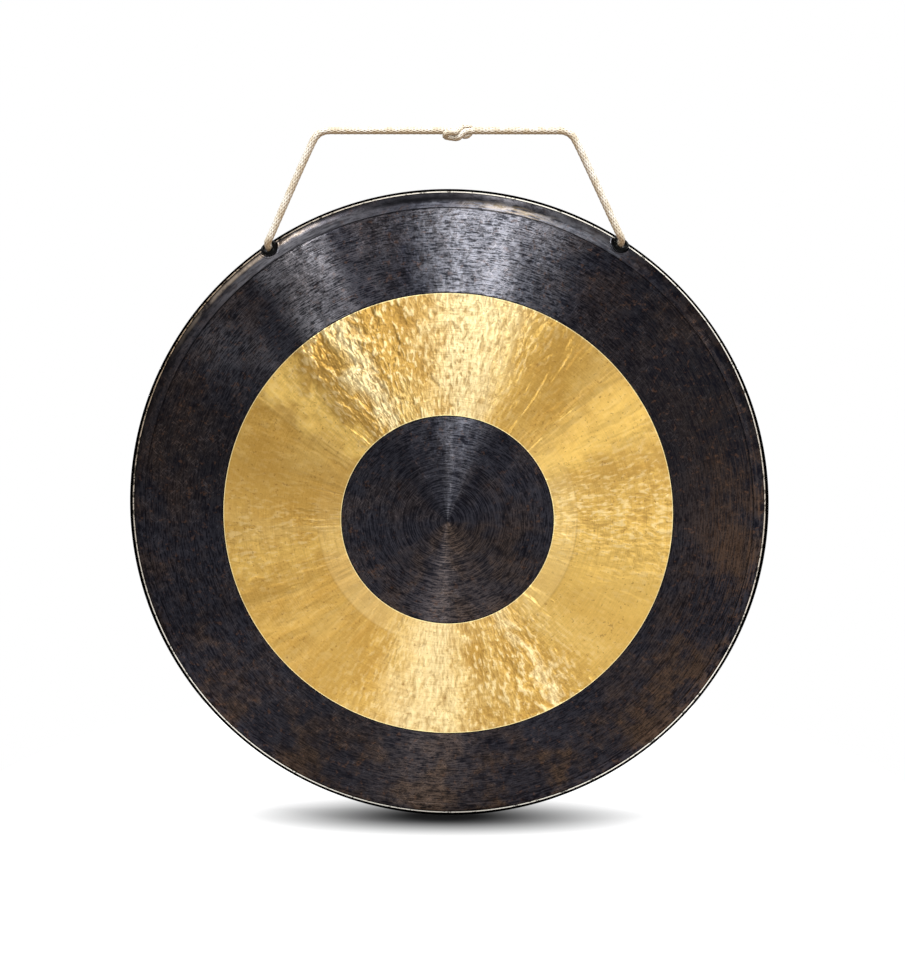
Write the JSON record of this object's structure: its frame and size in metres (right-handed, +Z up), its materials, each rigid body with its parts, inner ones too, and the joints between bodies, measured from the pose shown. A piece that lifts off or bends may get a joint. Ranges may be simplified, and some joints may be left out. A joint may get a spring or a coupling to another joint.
{
  "type": "tam-tam",
  "caption": "Hammered bronze tam-tam with a slightly domed face, a turned-back rim and rubber eyelets, hung from a knotted braided cord.",
  "frame": {"origin": "middle of the cord's level run, on the cord's centreline, where a stand's two pegs carry the gong", "axes": "+Z up, -Y the way the gong's face looks, +X to the right as seen from in front"},
  "size_m": [0.6099, 0.0806, 0.669],
  "materials": {
    "bronze": "hammered and lathe-turned, dark patina with a polished ring",
    "rubber": "glossy moulded rubber",
    "cotton_cord": "round braided cotton"
  },
  "bodies": {
    "hanger_top": {"cord_top_left": "cotton_cord", "cord_top_right": "cotton_cord", "cord_knot": "cotton_cord"},
    "hanger_sides": {"cord_side_left": "cotton_cord", "cord_side_right": "cotton_cord"},
    "gong": {"gong_disc": "bronze", "grommet_left": "rubber", "grommet_right": "rubber", "cord_eyelet_left": "cotton_cord", "cord_eyelet_right": "cotton_cord", "cord_back_run": "cotton_cord"}
  },
  "joints": [
    {"name": "hanger_swing", "type": "hinge", "parent": "hanger_top", "child": "hanger_sides", "pos_m": [0, 0, 0], "axis": [1, 0, 0], "range_deg": [-30, 30]},
    {"name": "gong_tilt", "type": "hinge", "parent": "hanger_sides", "child": "gong", "pos_m": [0, 0, -0.0989], "axis": [0.9999, -0.0002, 0.0136], "range_deg": [-20, 20], "deforming": ["cord_eyelet_left", "cord_eyelet_right"]}
  ]
}
